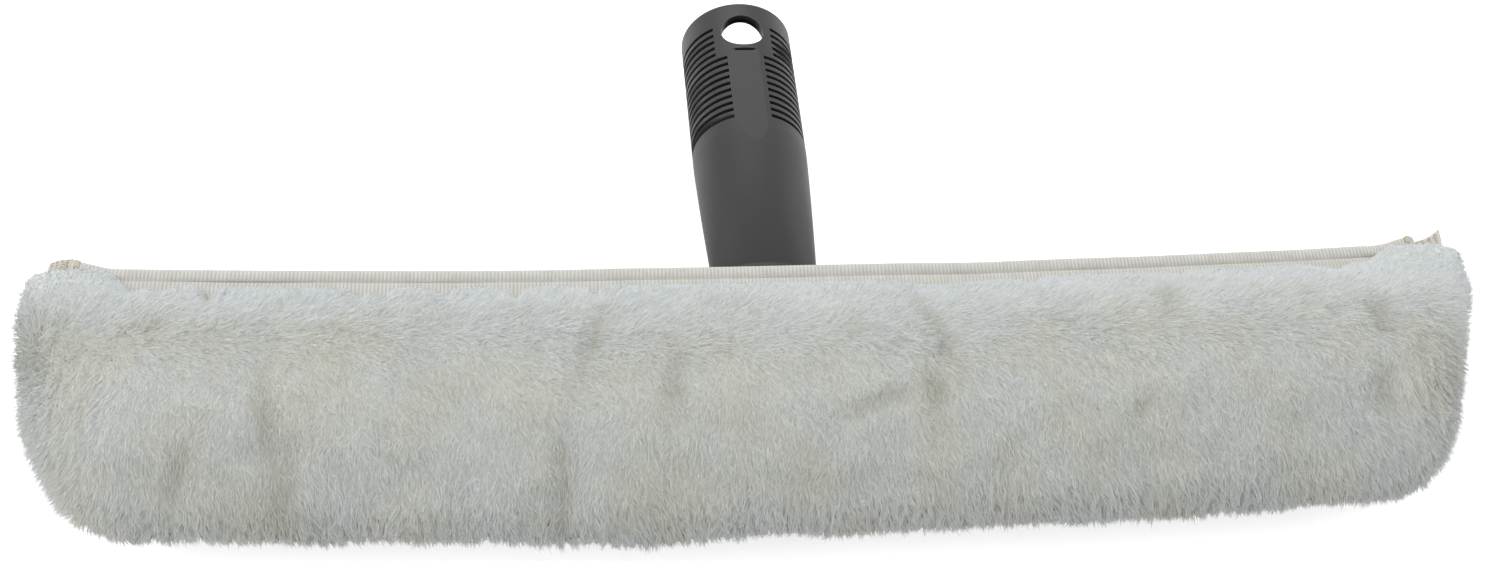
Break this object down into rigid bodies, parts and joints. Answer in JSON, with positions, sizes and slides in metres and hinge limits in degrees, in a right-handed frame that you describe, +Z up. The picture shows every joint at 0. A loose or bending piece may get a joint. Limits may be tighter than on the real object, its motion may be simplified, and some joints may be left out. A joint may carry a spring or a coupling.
{
  "type": "window scrubber",
  "caption": "T-shaped window washer: a fleece sleeve over a flat crossbar, with a hollow grooved plastic handle that takes an extension pole.",
  "frame": {"origin": "on the surface that the scrubber lies on, below the middle of the sleeve", "axes": "+X along the crossbar, +Y out of the handle's open end, +Z up"},
  "size_m": [0.3548, 0.1565, 0.0355],
  "materials": {
    "charcoal_plastic": "fine matte moulded texture",
    "screw_steel": "plain zinc-plated steel",
    "fleece": "dense cream-white pile",
    "woven_tape": "ribbed woven cotton tape",
    "closure_nylon": "white hook-and-loop tape",
    "sewing_thread": "tan sewing thread"
  },
  "bodies": {
    "t_bar": {"handle": "charcoal_plastic", "crossbar": "charcoal_plastic", "left_screw": "screw_steel", "right_screw": "screw_steel"},
    "sleeve": {"fleece_sleeve": "fleece", "upper_lip_tape": "woven_tape", "lower_lip_tape": "woven_tape", "left_hook_strip": "closure_nylon", "right_hook_strip": "closure_nylon", "left_loop_strip": "closure_nylon", "right_loop_strip": "closure_nylon", "left_corner_tab": "woven_tape", "right_corner_tab": "woven_tape", "left_bartack": "sewing_thread", "right_bartack": "sewing_thread"}
  },
  "joints": [
    {"name": "sleeve_draw_off", "type": "slide", "parent": "t_bar", "child": "sleeve", "axis": [0, -1, 0], "range_m": [0, 0.09]}
  ]
}
